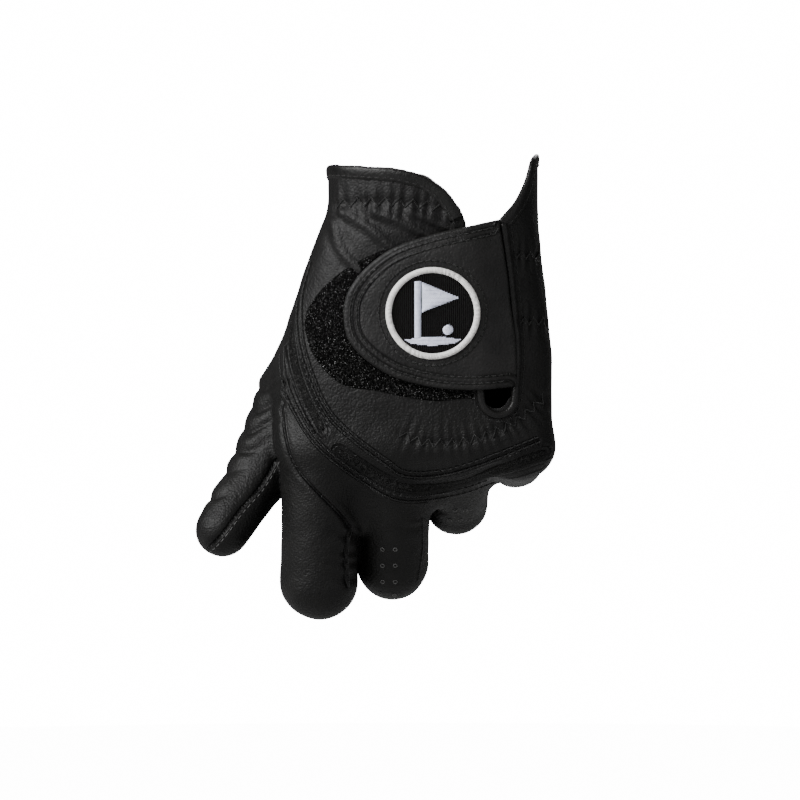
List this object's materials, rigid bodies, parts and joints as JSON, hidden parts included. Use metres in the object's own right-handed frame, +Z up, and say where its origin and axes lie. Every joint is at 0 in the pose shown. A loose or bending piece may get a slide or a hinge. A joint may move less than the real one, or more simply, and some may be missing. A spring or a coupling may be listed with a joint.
{
  "type": "golf glove",
  "caption": "Black leather golf glove for the left hand, closed as on a club, with a wrist tab, mesh inlays and a round badge.",
  "frame": {"origin": "centre of the cuff's opening", "axes": "+Z up the wearer's arm, out of the cuff; the back of the hand faces -Y; the little finger is on the +X side"},
  "size_m": [0.1117, 0.081, 0.1444],
  "materials": {
    "leather": "fine grain, satin",
    "binding": "folded leather, satin",
    "fourchette": "perforated leather",
    "mesh": "stretch mesh, matt",
    "elastic": "woven elastic, matt",
    "loop": "loop pile, glossy fibres",
    "hook": "moulded hooks",
    "lining": "brushed lining",
    "badge_ground": "ribbed weave, matt",
    "badge_thread": "satin embroidery"
  },
  "bodies": {
    "hand": {"back_panel": "leather", "cuff_elastic": "elastic", "cuff_hem_back": "binding", "cuff_hem_palm": "binding", "cuff_hem_side": "binding", "knuckle_elastic": "elastic", "knuckle_mesh": "mesh", "loop_patch": "loop", "palm_panel": "leather", "side_elastic_lower": "elastic", "side_elastic_upper": "elastic", "side_mesh": "mesh", "side_panel": "leather", "slit_binding": "binding", "tab_anchor": "elastic", "thumb_base": "leather"},
    "tab": {"badge_disc": "badge_ground", "badge_motif": "badge_thread", "badge_ring": "badge_thread", "closure_tab": "leather", "hook_patch": "hook", "tab_lining": "lining"},
    "index_base": {"index_base_back": "leather", "index_base_palm": "leather", "index_fourchette_right": "fourchette"},
    "index_shaft": {"index_shaft_back": "leather", "index_shaft_palm": "leather"},
    "index_tip": {"index_tip_back": "leather", "index_tip_palm": "leather"},
    "little_base": {"little_base_back": "leather", "little_base_palm": "leather", "little_fourchette_left": "fourchette"},
    "little_shaft": {"little_shaft_back": "leather", "little_shaft_palm": "leather"},
    "little_tip": {"little_tip_back": "leather", "little_tip_palm": "leather"},
    "middle_base": {"middle_base_back": "leather", "middle_base_palm": "leather", "middle_fourchette_left": "fourchette", "middle_fourchette_right": "fourchette"},
    "middle_shaft": {"middle_shaft_back": "leather", "middle_shaft_palm": "leather"},
    "middle_tip": {"middle_tip_back": "leather", "middle_tip_palm": "leather"},
    "ring_base": {"ring_base_back": "leather", "ring_base_palm": "leather", "ring_fourchette_left": "fourchette", "ring_fourchette_right": "fourchette"},
    "ring_shaft": {"ring_shaft_back": "leather", "ring_shaft_palm": "leather"},
    "ring_tip": {"ring_tip_back": "leather", "ring_tip_palm": "leather"},
    "thumb_shaft": {"thumb_shaft_back": "leather", "thumb_shaft_palm": "leather"},
    "thumb_tip": {"thumb_tip_back": "leather", "thumb_tip_palm": "leather"}
  },
  "joints": [
    {"name": "index_knuckle", "type": "hinge", "parent": "hand", "child": "index_base", "pos_m": [-0.0348, -0.00085, -0.076], "axis": [-1, 0, 0], "range_deg": [0, 12]},
    {"name": "index_middle_joint", "type": "hinge", "parent": "index_base", "child": "index_shaft", "pos_m": [-0.0348, 0.00798, -0.11757], "axis": [-1, 0, 0], "range_deg": [0, 70]},
    {"name": "index_end_joint", "type": "hinge", "parent": "index_shaft", "child": "index_tip", "pos_m": [-0.0348, 0.03395, -0.11893], "axis": [-1, 0, 0], "range_deg": [0, 53]},
    {"name": "middle_knuckle", "type": "hinge", "parent": "hand", "child": "middle_base", "pos_m": [-0.0118, 0.00038, -0.076], "axis": [-1, 0, 0], "range_deg": [0, 29]},
    {"name": "middle_middle_joint", "type": "hinge", "parent": "middle_base", "child": "middle_shaft", "pos_m": [-0.0118, 0.02075, -0.11273], "axis": [-1, 0, 0], "range_deg": [0, 80]},
    {"name": "middle_end_joint", "type": "hinge", "parent": "middle_shaft", "child": "middle_tip", "pos_m": [-0.0118, 0.04632, -0.10135], "axis": [-1, 0, 0], "range_deg": [0, 57]},
    {"name": "ring_knuckle", "type": "hinge", "parent": "hand", "child": "ring_base", "pos_m": [0.0089, 0.0015, -0.076], "axis": [-1, 0, 0], "range_deg": [0, 60]},
    {"name": "ring_middle_joint", "type": "hinge", "parent": "ring_base", "child": "ring_shaft", "pos_m": [0.0089, 0.03268, -0.094], "axis": [-1, 0, 0], "range_deg": [0, 70]},
    {"name": "ring_end_joint", "type": "hinge", "parent": "ring_shaft", "child": "ring_tip", "pos_m": [0.0089, 0.05106, -0.07562], "axis": [-1, 0, 0], "range_deg": [0, 45]},
    {"name": "little_knuckle", "type": "hinge", "parent": "hand", "child": "little_base", "pos_m": [0.0277, 0.00251, -0.076], "axis": [-1, 0, 0], "range_deg": [0, 83]},
    {"name": "little_middle_joint", "type": "hinge", "parent": "little_base", "child": "little_shaft", "pos_m": [0.0277, 0.03229, -0.07966], "axis": [-1, 0, 0], "range_deg": [0, 45]},
    {"name": "little_end_joint", "type": "hinge", "parent": "little_shaft", "child": "little_tip", "pos_m": [0.0277, 0.04911, -0.06397], "axis": [-1, 0, 0], "range_deg": [0, 40]},
    {"name": "thumb_knuckle", "type": "hinge", "parent": "hand", "child": "thumb_shaft", "pos_m": [-0.041, 0.018, -0.058], "axis": [-0.4186, 0.9081, -0.0083], "range_deg": [0, 10]},
    {"name": "thumb_joint", "type": "hinge", "parent": "thumb_shaft", "child": "thumb_tip", "pos_m": [-0.0535, 0.012, -0.084], "axis": [-0.7026, 0.7012, 0.1211], "range_deg": [0, 20]},
    {"name": "tab_hinge", "type": "hinge", "parent": "hand", "child": "tab", "pos_m": [0.023, -0.01842, -0.0315], "axis": [-0.0779, -0.0814, 0.9936], "range_deg": [0, 150]}
  ]
}
